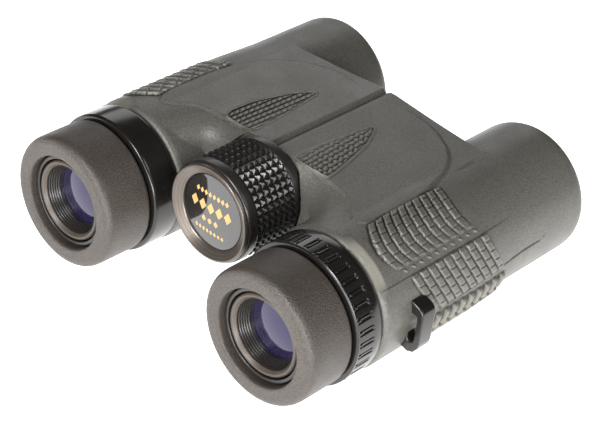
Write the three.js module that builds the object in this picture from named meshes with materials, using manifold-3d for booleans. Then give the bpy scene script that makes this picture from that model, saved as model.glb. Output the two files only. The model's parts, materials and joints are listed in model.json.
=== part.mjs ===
// Compact roof-prism binoculars, 8x class with 24 mm objectives.
// Millimetres. +Z is up, +Y points from the eyecups to the objectives, +X is the right barrel.
// The parts are drawn with the eyecup faces at y = 0 and the barrel axes at z = 0, and the
// whole group is then moved so that its origin is under its middle, on the resting surface.
import * as THREE from 'three';
import { mergeVertices } from 'three/addons/utils/BufferGeometryUtils.js';
import Module from 'manifold-3d';

const wasm = await Module();
wasm.setup();

// ---- Driving dimensions ----
const axisSpacing = 70;          // between the two barrel axes, fully opened
const overallLength = 105.6;     // eyecup face to objective rim
const barrelRadius = 19.3;       // armour over the prisms
const tubeRadius = 18.6;         // armour over the objective tube
const hingeHeight = 9.03;        // hinge axis above the barrel axes
const gap = 0.3;                 // between neighbouring pieces
const outerFacets = 32;
const innerFacets = 18;

// ---- Shell walls and stations along the barrel ----
const armourWall = 1.6;
const bodyFront = 24.3;          // where the armour starts, behind the collar
const taperFront = 62;           // the barrel tapers from here
const taperRear = 80;            // to the plain objective tube here
const boreRadius = 15;           // inside of the chassis
const lipLength = 2;             // armour lip round the objective
const lipEase = 0.2;             // the lip stands this far outside the bore
const gripRadius = 20.2;
const edgeRound = 0.8;           // of the armour's ends
// Raised bands of the armour: angles from straight out, and stations along the barrel.
const gripBands = [[39, 78, 33, 61], [1, 36, 40, 66], [-40, -5, 44.5, 71]];

// ---- Bridge between the barrels ----
const bridgeFront = 38.6;
const bridgeRear = 83.6;
const seamHalf = 0.15;           // half of the seam between the two halves
const bridgeTop = 21.5;
const bridgeBottom = 1;
// The bridge's top skin, from the seam outward: across, and below the top.
const bridgeCrown = [[10.7, 0.6], [17.8, 1.1], [23, 1.7], [27, 2.1]];
// Its underside, from under the barrel axis to the hinge: short of the barrel axis, and up or down.
const bridgeUnderside = [[16, -8], [20, bridgeBottom - 3.5], [24, bridgeBottom - 0.6]];
const foldLimit = 49;            // degrees
const foldSpare = 3;
const shoulderInner = 12;
const shoulderSlope = [[30, 16.4], [34.5, 19.2]];

// ---- Hinge and focus drive, on one axis ----
const knuckleRadius = 7.5;
const hingeTubeRadius = 5;
const screwRadius = 2.2;
const knuckleLength = 8.4;
const focusTravel = 2.2;
const spoolFront = 71;
const spoolLength = 7.5;
const spoolGroove = 3.1;
const grooveRadius = 4.9;
const armThickness = 2.5;
const armWidth = 5;
const endCapLength = 2.6;
const nutLength = 2;

// ---- Focus knob ----
const knobRadius = 13.86;
const knobFront = 18;
const knobRear = 38.28;
const knobBand = 3.6;            // smooth band at each end of the knurl
const bezelInner = 11.2;
const discRecess = 1;
const discThickness = 2.2;
const knobClear = 0.5;           // between the knob and the armour round it
const knurlDepth = 0.9;
const bezelRear = 23.5;
const coreFloor = 24;            // floor of the hollow in the knob's front
const hubRear = 29;
const screwHeadFront = 20.6;
const screwRear = 81;

// ---- Eyepieces ----
const cupRadius = 18;
const cupFaceRadius = 16.3;
const cupLength = 14.3;
const cupLip = 3.9;
const cupWall = 1.9;
const eyeTubeRadius = 13.6;
const eyeTubeWall = 2.3;
const eyeTubeStep = 1.2;         // the tube is thinner where it passes the cup's lip
const eyeRingWidth = 3.4;        // of the tapered ring round the eye lens
const eyeTubeRear = 30;
const eyeTubeFront = 2;
const ringRadius = 18.9;         // diopter ring and the plain collar
const ringFront = 14.9;

// ---- Objectives and prisms ----
const objectiveCellWall = 1.8;
const lensSeat = 0.7;            // how far a seat reaches in under a lens
const cellRear = 99.5;
const prismFront = 40;
const fieldCellWall = 1.7;
const focusCellWall = 2.8;
const focusCellPlay = 0.4;       // round the sliding focus cell
const objectiveCellFront = 86;
const fieldCell = [17, 25];
// Each lens: its edge from and to, and how far the two faces bulge out of the edge.
const eyeLens = [9.6, 12.5, 2, 0.4];
const fieldLens = [19.4, 22.2, 1, 1];
const focusLens = [2.6, 5.4, -1, -0.6];
const objectiveFlint = [91, 95.9, -0.9, 1];
const objectiveCrown = [96.2, 99.2, -1, 1.2];
const cageLength = 24;
const cageWall = 2.54;           // at the corners of the prism channel
const channelAngle = 41.75;      // degrees, from upright to a corner of the channel

// ---- Strap lug ----
const lugFront = 33.6;
const lugLength = 5;
const lugStand = 3.5;            // how far the bar stands off the armour
const lugTop = 5.6;
const lugBottom = -8;
const lugBar = 1.3;
const lugSlot = 2;

// ---- Values that follow ----
const lugReach = barrelRadius + lugStand;
const halfSpacing = axisSpacing / 2;
const lipRadius = boreRadius + lipEase;
const eyeTubeBore = eyeTubeRadius - eyeTubeWall;
const cupMouth = eyeTubeRadius - eyeTubeStep + gap;
const eyeLensMouth = eyeTubeBore - gap - eyeRingWidth;
const innerPieceRadius = boreRadius - gap;
const fieldBore = eyeTubeBore - gap - fieldCellWall;
const focusBore = boreRadius - focusCellPlay - focusCellWall;
const objectiveRadius = innerPieceRadius - objectiveCellWall - gap;
const channelCorner = boreRadius - cageWall;
const channelTurn = THREE.MathUtils.degToRad(channelAngle);
const prismWide = 2 * (channelCorner * Math.sin(channelTurn) - gap);
const prismTall = 2 * (channelCorner * Math.cos(channelTurn) - gap);
const hingeDistance = Math.hypot(halfSpacing, hingeHeight);
const restHeight = barrelRadius * Math.cos(Math.PI / outerFacets);
const chassisRadius = barrelRadius - armourWall - gap;
const chassisTubeRadius = tubeRadius - armourWall - gap;
const chassisRear = overallLength - lipLength - gap;
const chassisFront = bodyFront + gap;
const hingeClear = knuckleRadius + gap;
const firstKnuckle = bridgeFront + armourWall + gap;
const knuckleStarts = [0, 1, 2].map((i) => firstKnuckle + i * (knuckleLength + gap));
const chamberFront = knuckleStarts[2] + knuckleLength + gap;
const ringRear = bodyFront - gap - 0.1;
const knuckleOwner = [-1, 1, -1];

// ---- Solids ----
function solid(geometry) {
  geometry.deleteAttribute('normal');
  geometry.deleteAttribute('uv');
  const merged = mergeVertices(geometry);
  const triangles = [];
  const index = merged.index.array;
  for (let i = 0; i < index.length; i += 3) {
    const [a, b, c] = [index[i], index[i + 1], index[i + 2]];
    if (a !== b && b !== c && c !== a) triangles.push(a, b, c);
  }
  return new wasm.Manifold(new wasm.Mesh({
    numProp: 3,
    vertProperties: new Float32Array(merged.attributes.position.array),
    triVerts: new Uint32Array(triangles),
  }));
}

function turned(profile, facets = innerFacets) {
  const points = profile.map(([radius, y]) => new THREE.Vector2(radius, y));
  if (THREE.ShapeUtils.area(points) < 0) points.reverse();
  if (points.every((point) => point.x > 0)) points.push(points[0].clone());
  return solid(new THREE.LatheGeometry(points, facets, Math.PI / facets));
}

function turnedAt(profile, x, z, facets = innerFacets) {
  return turned(profile, facets).translate([x, 0, z]);
}

function ringProfile(inner, outer, y0, y1) {
  return [[inner, y0], [outer, y0], [outer, y1], [inner, y1]];
}

function discProfile(radius, y0, y1) {
  return [[0, y0], [radius, y0], [radius, y1], [0, y1]];
}

// An outline in X and Z, carried along Y.
function alongY(outline, y0, y1) {
  const shape = new THREE.Shape(outline.map(([x, z]) => new THREE.Vector2(x, z)));
  const geometry = new THREE.ExtrudeGeometry(shape, { depth: y1 - y0, bevelEnabled: false });
  geometry.rotateX(Math.PI / 2);
  geometry.translate(0, y1, 0);
  return solid(geometry);
}

// An outline in Y and Z, carried along X.
function alongX(outline, x0, x1) {
  const shape = new THREE.Shape(outline.map(([y, z]) => new THREE.Vector2(y, z)));
  const geometry = new THREE.ExtrudeGeometry(shape, { depth: Math.abs(x1 - x0), bevelEnabled: false });
  geometry.rotateX(Math.PI / 2);
  geometry.rotateZ(Math.PI / 2);
  geometry.translate(Math.min(x0, x1), 0, 0);
  return solid(geometry);
}

// A lens: edge from y0 to y1, with each face bulging out of its edge (or in, if negative).
function lens(radius, y0, y1, bulgeFront, bulgeRear) {
  const steps = 3;
  const profile = [];
  for (let i = 0; i <= steps; i += 1) {
    const share = i / steps;
    profile.push([radius * share, y0 - bulgeFront * (1 - share * share)]);
  }
  for (let i = steps; i >= 0; i -= 1) {
    const share = i / steps;
    profile.push([radius * share, y1 + bulgeRear * (1 - share * share)]);
  }
  return turned(profile);
}

// ---- Materials ----
const finish = (color, roughness, metalness = 0) =>
  () => new THREE.MeshStandardMaterial({ color, roughness, metalness });
const armourRubber = finish(0x76726a, 0.75);
const cupRubber = finish(0x4b4641, 0.8);
const glossBlack = finish(0x1b1917, 0.25);
const blackPlastic = finish(0x262422, 0.5);
const chassisPlastic = finish(0x3a3835, 0.6);
const blackMetal = finish(0x2a2a2c, 0.4, 0.7);
const steel = finish(0xb8b8b4, 0.3, 1);
const taupeMetal = finish(0x8a8078, 0.5, 0.4);
const coatedGlass = finish(0x5b4d78, 0.05);
const clearGlass = finish(0xc9d6d2, 0.05);

const binoculars = new THREE.Group();
binoculars.position.set(0, -overallLength / 2, restHeight);

function add(name, shape, material, x = 0, z = 0) {
  const mesh3 = shape.getMesh();
  const geometry = new THREE.BufferGeometry();
  geometry.setAttribute('position', new THREE.BufferAttribute(mesh3.vertProperties, 3));
  geometry.setIndex(new THREE.BufferAttribute(mesh3.triVerts, 1));
  geometry.computeVertexNormals();
  const mesh = new THREE.Mesh(geometry, material());
  mesh.name = name;
  mesh.position.set(x, 0, z);
  binoculars.add(mesh);
}

// ---- Body halves ----
// The bridge's section on one side, from the seam out into the barrel.
function bridgeSection(side, inset) {
  const top = bridgeTop - inset;
  const reach = hingeHeight - bridgeBottom - inset;
  const limit = THREE.MathUtils.degToRad(90 - (foldLimit + foldSpare) / 2);
  const edge = reach / Math.tan(limit);
  const outline = [
    [seamHalf, top], ...bridgeCrown.map(([x, drop]) => [x, top - drop]),
    [halfSpacing, barrelRadius - inset], [halfSpacing, 0], [halfSpacing - 11, -12],
    ...bridgeUnderside.map(([short, z]) => [halfSpacing - short, z + inset]), [edge, bridgeBottom + inset],
    [seamHalf, hingeHeight],
  ];
  return outline.map(([x, z]) => [side * x, z]);
}

function barrelProfile(inset, front, rear) {
  const wide = barrelRadius - inset;
  const narrow = tubeRadius - inset;
  return [
    [0, front], [wide - edgeRound, front], [wide, front + 1.4], [wide, taperFront],
    [narrow, taperRear], [narrow, rear - 1.2], [narrow - edgeRound, rear], [0, rear],
  ];
}

function envelope(side, inset, front, rear) {
  const barrel = turnedAt(barrelProfile(inset, front, rear), side * halfSpacing, 0, outerFacets);
  const bridge = alongY(bridgeSection(side, inset), bridgeFront + inset, bridgeRear - inset);
  return barrel.add(bridge);
}

// Armour that flows from the front of the barrel up to the bridge, round the focus knob.
function shoulder(side) {
  const front = bodyFront + 0.4;
  const rear = bridgeFront + 0.2;
  const outline = [[front, 9], ...shoulderSlope, [rear, bridgeTop - 1.4], [rear, 2], [front, 2]];
  return alongX(outline, side * shoulderInner, side * halfSpacing);
}

// A raised band of the armour, between two angles from +X round the barrel axis.
function gripBand(side, fromDegrees, toDegrees, y0, y1) {
  const steps = 8;
  const inner = barrelRadius - armourWall / 2;
  const arc = (radius, i) => {
    const angle = THREE.MathUtils.degToRad(fromDegrees + ((toDegrees - fromDegrees) * i) / steps);
    return [side * (halfSpacing + radius * Math.cos(angle)), radius * Math.sin(angle)];
  };
  const counts = [...Array(steps + 1).keys()];
  const outside = counts.map((i) => arc(gripRadius, i));
  const inside = counts.reverse().map((i) => arc(inner, i));
  return alongY([...outside, ...inside], y0, y1);
}

function hingeCylinder(radius, y0, y1) {
  return turnedAt(discProfile(radius, y0, y1), 0, hingeHeight);
}

function armour(side) {
  const inner = envelope(side, armourWall, bodyFront - 1, chassisRear + gap);
  const mouthProfile = discProfile(lipRadius, bodyFront, overallLength + 1);
  const mouth = turnedAt(mouthProfile, side * halfSpacing, 0, outerFacets);
  const knobProfile = discProfile(knobRadius + knobClear, bodyFront - 1, bridgeFront);
  const bands = gripBands.map((band) => gripBand(side, ...band));
  return bands.reduce((body, band) => body.add(band), envelope(side, 0, bodyFront, overallLength))
    .add(shoulder(side))
    .subtract(inner)
    .subtract(mouth)
    .subtract(hingeCylinder(hingeClear, bridgeFront - 1, bridgeRear + 1))
    .subtract(turnedAt(knobProfile, 0, hingeHeight, outerFacets));
}

// The focus arm runs from the barrel axis to the hinge axis; this is its outline on one side.
function armOutline(side, width, start, end) {
  const [dx, dz] = [-halfSpacing / hingeDistance, hingeHeight / hingeDistance];
  const corner = (along, across) =>
    [side * (halfSpacing + dx * along - dz * across), dz * along + dx * across];
  const half = width / 2;
  return [corner(start, half), corner(end, half), corner(end, -half), corner(start, -half)];
}

function chassis(side) {
  const inset = armourWall + gap;
  const x = side * halfSpacing;
  let body = envelope(side, inset, chassisFront, chassisRear);
  knuckleStarts.forEach((start, i) => {
    if (knuckleOwner[i] === side) return;
    body = body.subtract(hingeCylinder(hingeClear, start - gap, start + knuckleLength + gap));
  });
  body = body.subtract(hingeCylinder(hingeClear, chamberFront, bridgeRear));
  knuckleStarts.forEach((start, i) => {
    if (knuckleOwner[i] !== side) return;
    body = body.add(hingeCylinder(knuckleRadius, start, start + knuckleLength));
  });
  const slotFront = spoolFront + (spoolLength - armThickness) / 2 - focusTravel - gap;
  const slotRear = slotFront + armThickness + 2 * (focusTravel + gap);
  const slot = alongY(armOutline(side, armWidth + 2 * gap, 10, hingeDistance - 2), slotFront, slotRear);
  const eyeBore = eyeTubeRadius + gap;
  const bore = [
    [0, chassisFront - 1], [eyeBore, chassisFront - 1], [eyeBore, eyeTubeRear + gap],
    [boreRadius, eyeTubeRear + gap], [boreRadius, chassisRear + 1], [0, chassisRear + 1],
  ];
  return body
    .subtract(hingeCylinder(hingeTubeRadius + gap, bridgeFront, bridgeRear))
    .subtract(slot)
    .subtract(turnedAt(bore, x, 0, outerFacets));
}

function strapLug(side) {
  const x = (reach) => side * (halfSpacing + reach);
  const barOuter = lugReach;
  const outline = [
    [x(barrelRadius - 4), lugTop], [x(barOuter - 1.6), lugTop], [x(barOuter), lugTop - 2.2],
    [x(barOuter), lugBottom + 3.6], [x(barOuter - 2.2), lugBottom], [x(barrelRadius - 4), lugBottom],
  ];
  const slotOutline = [
    [x(barOuter - lugBar - lugSlot), lugTop - 2], [x(barOuter - lugBar), lugTop - 2.6],
    [x(barOuter - lugBar), lugBottom + 4], [x(barOuter - lugBar - lugSlot), lugBottom + 3],
  ];
  const rear = lugFront + lugLength;
  const besideBarrel = discProfile(barrelRadius + gap, lugFront - 2, rear + 2);
  return alongY(outline, lugFront, rear)
    .subtract(alongY(slotOutline, lugFront - 1, rear + 1))
    .subtract(turnedAt(besideBarrel, side * halfSpacing, 0, outerFacets));
}

// ---- Optics of one barrel ----
function focusCell(side) {
  const y0 = spoolFront;
  const y1 = spoolFront + spoolLength;
  const armFront = spoolFront + (spoolLength - armThickness) / 2;
  const arm = alongY(
    armOutline(side, armWidth, boreRadius - 2, hingeDistance - grooveRadius - gap - 0.2),
    armFront, armFront + armThickness,
  );
  const ring = ringProfile(focusBore, boreRadius - focusCellPlay, y0, y1);
  return turnedAt(ring, side * halfSpacing, 0).add(arm);
}

function prismCage() {
  const wide = prismWide / 2 + gap;
  const tall = prismTall / 2 + gap;
  const rear = prismFront + cageLength;
  const outline = [[-wide, -tall], [wide, -tall], [wide, tall], [-wide, tall]];
  return turned(discProfile(boreRadius - gap, prismFront, rear))
    .subtract(alongY(outline, prismFront - 1, rear + 1));
}

function prism(outline) {
  return alongX(outline, -prismWide / 2, prismWide / 2);
}

function roofPrism() {
  const front = prismFront + 1.5;
  const h = prismTall / 2;
  return prism([[front, -h + 3], [front + 3, -h], [front + 6, -h], [front + 13, h], [front, h]]);
}

function halfPrism() {
  const rear = prismFront + cageLength - 1.5;
  const h = prismTall / 2;
  const slant = gap + 0.1;
  const front = prismFront + 1.5 + slant;
  return prism([[front + 6, -h], [rear, -h], [rear, h - 4], [rear - 3, h], [front + 13, h]]);
}

function eyepieceTube() {
  const narrow = eyeTubeRadius - eyeTubeStep;
  return turned([
    [eyeTubeBore, eyeTubeFront], [narrow, eyeTubeFront], [narrow, cupLip + gap],
    [eyeTubeRadius, cupLip + gap], [eyeTubeRadius, eyeTubeRear], [eyeTubeBore, eyeTubeRear],
  ]);
}

function eyeLensRing() {
  const outer = eyeTubeBore - gap;
  return turned([
    [outer, eyeTubeFront + 0.4], [outer - 0.4, eyeTubeFront], [eyeLensMouth, 6.2],
    [eyeLensMouth, 8.2], [outer, 8.2],
  ]);
}

function eyecup() {
  const inner = cupRadius - cupWall;
  return turned([
    [cupMouth, 1], [cupMouth + 0.6, 0], [cupFaceRadius, 0], [cupFaceRadius + 0.9, 0.5],
    [cupRadius - 0.3, 1.7], [cupRadius, 6], [cupRadius, cupLength], [inner, cupLength],
    [inner, cupLip], [cupMouth, cupLip],
  ], outerFacets);
}

function collar() {
  const bore = eyeTubeRadius + gap;
  return turned([
    [bore, ringFront], [ringRadius - 1, ringFront], [ringRadius - 0.3, ringFront + 0.6],
    [ringRadius, ringFront + 1.5], [ringRadius, ringRear - 0.7], [ringRadius - 0.4, ringRear],
    [bore, ringRear],
  ], outerFacets);
}

function objectiveCell() {
  const outer = boreRadius - gap;
  const seat = objectiveRadius + gap;
  const mouth = objectiveRadius - lensSeat;
  const seatFront = objectiveFlint[0] - 0.4;
  return turned([
    [mouth, objectiveCellFront], [outer, objectiveCellFront], [outer, cellRear], [seat, cellRear],
    [seat, seatFront], [mouth, seatFront],
  ]);
}

function objectiveRing() {
  const outer = boreRadius - gap;
  const front = cellRear + gap;
  const rear = chassisRear - gap;
  return turned([[objectiveRadius - 0.2, front], [outer, front], [outer, rear], [outer - 0.8, rear]]);
}

function barrel(side, word) {
  const x = side * halfSpacing;
  const fieldRing = ringProfile(fieldBore, eyeTubeBore - gap, ...fieldCell);
  const [lensFront, lensRear, ...bulges] = focusLens;
  const guide = ringProfile(eyeTubeRadius + gap, cupRadius - cupWall - gap, cupLip + gap, cupLength);
  add(`${word}_chassis`, chassis(side), chassisPlastic);
  add(`${word}_armour`, armour(side), armourRubber);
  add(`${word}_strap_lug`, strapLug(side), blackPlastic);
  add(`${word}_objective_cell`, objectiveCell(), blackMetal, x);
  add(`${word}_objective_crown`, lens(objectiveRadius, ...objectiveCrown), coatedGlass, x);
  add(`${word}_objective_flint`, lens(objectiveRadius, ...objectiveFlint), clearGlass, x);
  add(`${word}_objective_ring`, objectiveRing(), blackMetal, x);
  add(`${word}_focus_cell`, focusCell(side), blackMetal);
  const slidingLens = lens(focusBore - gap, spoolFront + lensFront, spoolFront + lensRear, ...bulges);
  add(`${word}_focus_lens`, slidingLens, clearGlass, x);
  add(`${word}_prism_cage`, prismCage(), blackPlastic, x);
  add(`${word}_roof_prism`, roofPrism(), clearGlass, x);
  add(`${word}_half_prism`, halfPrism(), clearGlass, x);
  add(`${word}_eyepiece_tube`, eyepieceTube(), blackMetal, x);
  add(`${word}_field_cell`, turned(fieldRing), blackMetal, x);
  add(`${word}_field_lens`, lens(fieldBore - gap, ...fieldLens), clearGlass, x);
  add(`${word}_eye_lens`, lens(eyeTubeBore - 0.4, ...eyeLens), coatedGlass, x);
  add(`${word}_eye_lens_ring`, eyeLensRing(), taupeMetal, x);
  add(`${word}_eyecup_guide`, turned(guide), blackPlastic, x);
  add(`${word}_eyecup`, eyecup(), cupRubber, x);
  add(side > 0 ? 'diopter_ring' : 'left_collar', collar(), glossBlack, x);
}

// ---- Focus knob, screw and hinge ----
function knobCore() {
  const grip = knobRadius - knurlDepth;
  const cavity = bezelInner + 0.8;
  const tubeHole = hingeTubeRadius + 0.4;
  const screwHole = screwRadius + gap;
  return turned([
    [cavity, knobFront + 0.5], [knobRadius - 0.2, knobFront + 0.5], [knobRadius, knobFront + 0.9],
    [knobRadius, knobFront + knobBand], [grip, knobFront + knobBand], [grip, knobRear - knobBand],
    [knobRadius, knobRear - knobBand], [knobRadius, knobRear], [tubeHole, knobRear], [tubeHole, hubRear],
    [screwHole, hubRear], [screwHole, coreFloor], [cavity, coreFloor],
  ], outerFacets);
}

function knobBezel() {
  return turned([
    [bezelInner, knobFront - 1], [bezelInner + 0.4, knobFront - 1.1], [knobRadius - 0.2, knobFront - 0.2],
    [knobRadius - 0.2, knobFront + 0.2], [bezelInner + 0.5, knobFront + 0.2],
    [bezelInner + 0.5, bezelRear], [bezelInner, bezelRear],
  ], outerFacets);
}

function focusScrew() {
  const headRear = coreFloor - gap;
  return turned([
    [0, screwHeadFront], [6, screwHeadFront], [6, headRear], [screwRadius, headRear],
    [screwRadius, screwRear], [0, screwRear],
  ]);
}

// The spool rides on the screw; the two focus arms sit in its groove.
function focusSpool() {
  const flange = (spoolLength - spoolGroove) / 2;
  const rear = spoolFront + spoolLength;
  const rim = knuckleRadius - 0.1;
  const bore = screwRadius + gap;
  return turned([
    [bore, spoolFront], [rim, spoolFront], [rim, spoolFront + flange], [grooveRadius, spoolFront + flange],
    [grooveRadius, rear - flange], [rim, rear - flange], [rim, rear], [bore, rear],
  ]);
}

function focusDrive() {
  const z = hingeHeight;
  const disc = knobFront - 1 + discRecess;
  const gripFront = knobFront + knobBand + gap;
  const gripRear = knobRear - knobBand - gap;
  const grip = ringProfile(knobRadius - knurlDepth + gap, knobRadius + 0.1, gripFront, gripRear);
  const face = discProfile(bezelInner - gap, disc, disc + discThickness);
  add('focus_knob', knobCore(), glossBlack, 0, z);
  add('knob_grip', turned(grip, outerFacets), cupRubber, 0, z);
  add('knob_bezel', knobBezel(), steel, 0, z);
  add('knob_disc', turned(face, outerFacets), glossBlack, 0, z);
  add('focus_screw', focusScrew(), steel, 0, z);
  add('focus_spool', focusSpool(), blackMetal, 0, z);
}

function hingeParts() {
  const z = hingeHeight;
  const nutRear = chamberFront + nutLength;
  const rim = knuckleRadius - 0.1;
  const bore = hingeTubeRadius + gap;
  const tube = ringProfile(screwRadius + 0.4, hingeTubeRadius, hubRear + gap, nutRear);
  const washer = ringProfile(bore, knuckleRadius - 0.2, knobRear + gap, firstKnuckle - gap);
  const nut = ringProfile(bore, knuckleRadius - 0.7, chamberFront, nutRear);
  const capRear = bridgeRear + 0.3;
  const capFront = capRear - endCapLength;
  const cap = [[0, capFront], [rim, capFront], [rim, capRear - 0.5], [rim - 0.6, capRear], [0, capRear]];
  add('hinge_tube', turned(tube), steel, 0, z);
  add('hinge_washer', turned(washer), steel, 0, z);
  add('hinge_nut', turned(nut), steel, 0, z);
  add('hinge_end_cap', turned(cap), blackPlastic, 0, z);
}

barrel(-1, 'left');
barrel(1, 'right');
focusDrive();
hingeParts();

export default binoculars;
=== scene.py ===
# %% [markdown]
# Compact roof-prism binoculars: two rubber-armoured halves on a folding hinge, with a focus knob
# between the eyepieces. The moulded shapes are grids of points worked out with numpy: most parts
# turn round a barrel or the hinge, so a ring of profile points and a height pattern on it give
# rubber bricks, knurling and lens faces alike.

# %% Load the frame
import json
import bpy
import numpy as np
from mathutils import Matrix, Vector


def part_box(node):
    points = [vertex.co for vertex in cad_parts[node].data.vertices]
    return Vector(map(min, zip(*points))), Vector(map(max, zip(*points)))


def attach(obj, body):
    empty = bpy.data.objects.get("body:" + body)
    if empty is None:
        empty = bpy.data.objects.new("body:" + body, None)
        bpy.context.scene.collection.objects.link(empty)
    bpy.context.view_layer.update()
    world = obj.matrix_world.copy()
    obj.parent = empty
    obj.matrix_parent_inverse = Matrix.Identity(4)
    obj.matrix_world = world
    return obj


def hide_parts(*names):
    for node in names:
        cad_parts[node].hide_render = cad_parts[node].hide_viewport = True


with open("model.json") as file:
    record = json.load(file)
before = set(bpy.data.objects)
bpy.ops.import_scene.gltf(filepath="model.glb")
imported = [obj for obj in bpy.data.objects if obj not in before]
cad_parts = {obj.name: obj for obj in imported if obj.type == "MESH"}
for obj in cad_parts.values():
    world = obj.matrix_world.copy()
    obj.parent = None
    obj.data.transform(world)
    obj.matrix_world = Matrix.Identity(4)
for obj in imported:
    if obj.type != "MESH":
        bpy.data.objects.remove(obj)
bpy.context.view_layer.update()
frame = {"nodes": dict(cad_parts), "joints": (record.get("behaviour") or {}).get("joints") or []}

MM = 0.001

# %% [markdown]
# Every place comes from the frame. The joints give the three long axes: the hinge in the middle and
# one axis down each barrel. Shapes below are drawn in millimetres with y = 0 at the eyecup faces
# and z = 0 at the barrel axes, and one function moves them into the frame.

# %% Axes and stations from the frame
joints = {joint["name"]: joint for joint in frame["joints"]}
hinge_at = Vector(joints["interpupillary_fold"]["pos_m"]) / MM
barrel_at = Vector(joints["diopter_turn"]["pos_m"]) / MM
eyecup_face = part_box("right_eyecup")[0].y / MM
ORIGIN = np.array([0.0, eyecup_face, barrel_at.z])
AXIS_X = barrel_at.x
HINGE_Z = hinge_at.z - barrel_at.z
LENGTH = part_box("right_armour")[1].y / MM - eyecup_face
HINGE_REACH = float(np.hypot(AXIS_X, HINGE_Z))
print(f"barrel axes at {AXIS_X:.1f} mm, hinge {HINGE_Z:.2f} mm above them, {LENGTH:.1f} mm long")


# %% [markdown]
# Moulded and turned parts could be pushed into shape by hand from a cylinder. A grid of points from
# a formula is used instead, because one number then changes a wall or a groove everywhere at once.
# Rows run along a part and columns run round it. Closing a grid both ways gives a ring or a sleeve
# with real thickness; closing it one way and adding a point at each end gives a solid that ends on
# its axis.

# %% Grid to mesh
def grid_faces(rows, columns, close_rows, close_columns):
    """Quads between neighbouring rows and columns; the last meets the first where it closes."""
    row = np.arange(rows if close_rows else rows - 1)
    column = np.arange(columns if close_columns else columns - 1)
    r, c = np.meshgrid(row, column, indexing="ij")
    r2, c2 = (r + 1) % rows, (c + 1) % columns
    corners = [r * columns + c, r * columns + c2, r2 * columns + c2, r2 * columns + c]
    return np.stack([corner.ravel() for corner in corners], axis=1)


def signed_volume(points, faces):
    """Six times the volume, from the triple product of each triangle's corners."""
    total = 0.0
    for a, b, c in ((0, 1, 2), (0, 2, 3)):
        p, q, r = points[faces[:, a]], points[faces[:, b]], points[faces[:, c]]
        total += np.einsum("ij,ij->i", p, np.cross(q, r)).sum()
    return total


def mesh_object(name, points, quads, triangles=(), smooth_angle=35.0):
    """Points in mm (drawing axes) become an object at the origin of the frame, faces outwards."""
    points = (np.asarray(points, float) + ORIGIN) * MM
    centred = points - points.mean(axis=0)
    if signed_volume(centred, np.asarray(quads)) < 0:
        quads = np.asarray(quads)[:, ::-1]
        triangles = [tuple(reversed(t)) for t in triangles]
    faces = [tuple(map(int, quad)) for quad in quads] + [tuple(map(int, t)) for t in triangles]
    mesh = bpy.data.meshes.new(name)
    mesh.from_pydata(points.tolist(), [], faces)
    mesh.validate()
    mesh.shade_smooth()
    mesh.set_sharp_from_angle(angle=np.radians(smooth_angle))
    piece = bpy.data.objects.new(name, mesh)
    bpy.context.scene.collection.objects.link(piece)
    return piece


def ring_grid(name, radius, y, angle, centre=(0.0, 0.0), smooth_angle=35.0):
    """A sleeve or ring: radius[row, column] and y[row] round an axis along y, closed both ways.
    x = centre_x + radius cos(angle), z = centre_z + radius sin(angle)."""
    radius = np.broadcast_to(radius, (len(y), len(angle)))
    x = centre[0] + radius * np.cos(angle)[None, :]
    z = centre[1] + radius * np.sin(angle)[None, :]
    yy = np.broadcast_to(np.asarray(y, float)[:, None], radius.shape)
    points = np.stack([x, yy, z], axis=-1).reshape(-1, 3)
    quads = grid_faces(*radius.shape, True, True)
    return mesh_object(name, points, quads, smooth_angle=smooth_angle)


def rounded(profile, size=0.35, steps=4, closed=True):
    """Rounds each corner of a profile of (radius, y) points with an arc-like curve of that size.
    Between the two points where it leaves the sides, the curve is a quadratic one."""
    corners = np.asarray(profile, float)
    count = len(corners)
    made = []
    for i, corner in enumerate(corners):
        if not closed and i in (0, count - 1):
            made.append(corner[None])
            continue
        before, after = corners[i - 1] - corner, corners[(i + 1) % count] - corner
        reach = min(size, np.linalg.norm(before) * 0.45, np.linalg.norm(after) * 0.45)
        start = corner + before / np.linalg.norm(before) * reach
        end = corner + after / np.linalg.norm(after) * reach
        t = np.linspace(0, 1, steps)[:, None]
        made.append((1 - t) ** 2 * start + 2 * t * (1 - t) * corner + t ** 2 * end)
    return np.vstack(made)


def turned_ring(name, profile, centre, size=0.35, columns=128, steps=4):
    """A closed profile of (radius, y) corners, rounded and turned round an axis along y."""
    curve = rounded(profile, size, steps)
    angle = np.linspace(0, 2 * np.pi, columns, endpoint=False)
    return ring_grid(name, np.repeat(curve[:, :1], columns, axis=1), curve[:, 1], angle, centre)


def turned_solid(name, profile, centre, size=0.3, columns=96, steps=4):
    """An open profile from the axis out and back to the axis, closed with a point at each end."""
    curve = rounded(profile, size, steps, closed=False)
    inner = curve[1:-1]
    angle = np.linspace(0, 2 * np.pi, columns, endpoint=False)
    x = centre[0] + inner[:, :1] * np.cos(angle)
    z = centre[1] + inner[:, :1] * np.sin(angle)
    y = np.repeat(inner[:, 1:], columns, axis=1)
    points = np.stack([x, y, z], axis=-1).reshape(-1, 3)
    ends = np.array([[centre[0], curve[0, 1], centre[1]], [centre[0], curve[-1, 1], centre[1]]])
    count = len(points)
    quads = grid_faces(len(inner), columns, False, True)
    ring = np.arange(columns)
    last = count - columns
    caps = [(count, int(b), int(a)) for a, b in zip(ring, np.roll(ring, -1))]
    caps += [(count + 1, int(last + a), int(last + b)) for a, b in zip(ring, np.roll(ring, -1))]
    return mesh_object(name, np.vstack([points, ends]), quads, caps)


# %% [markdown]
# Materials are nodes. Each starts from the real finish; colours are written as sRGB hex and turned
# to linear light by one function, and every grain size is in millimetres.

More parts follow.
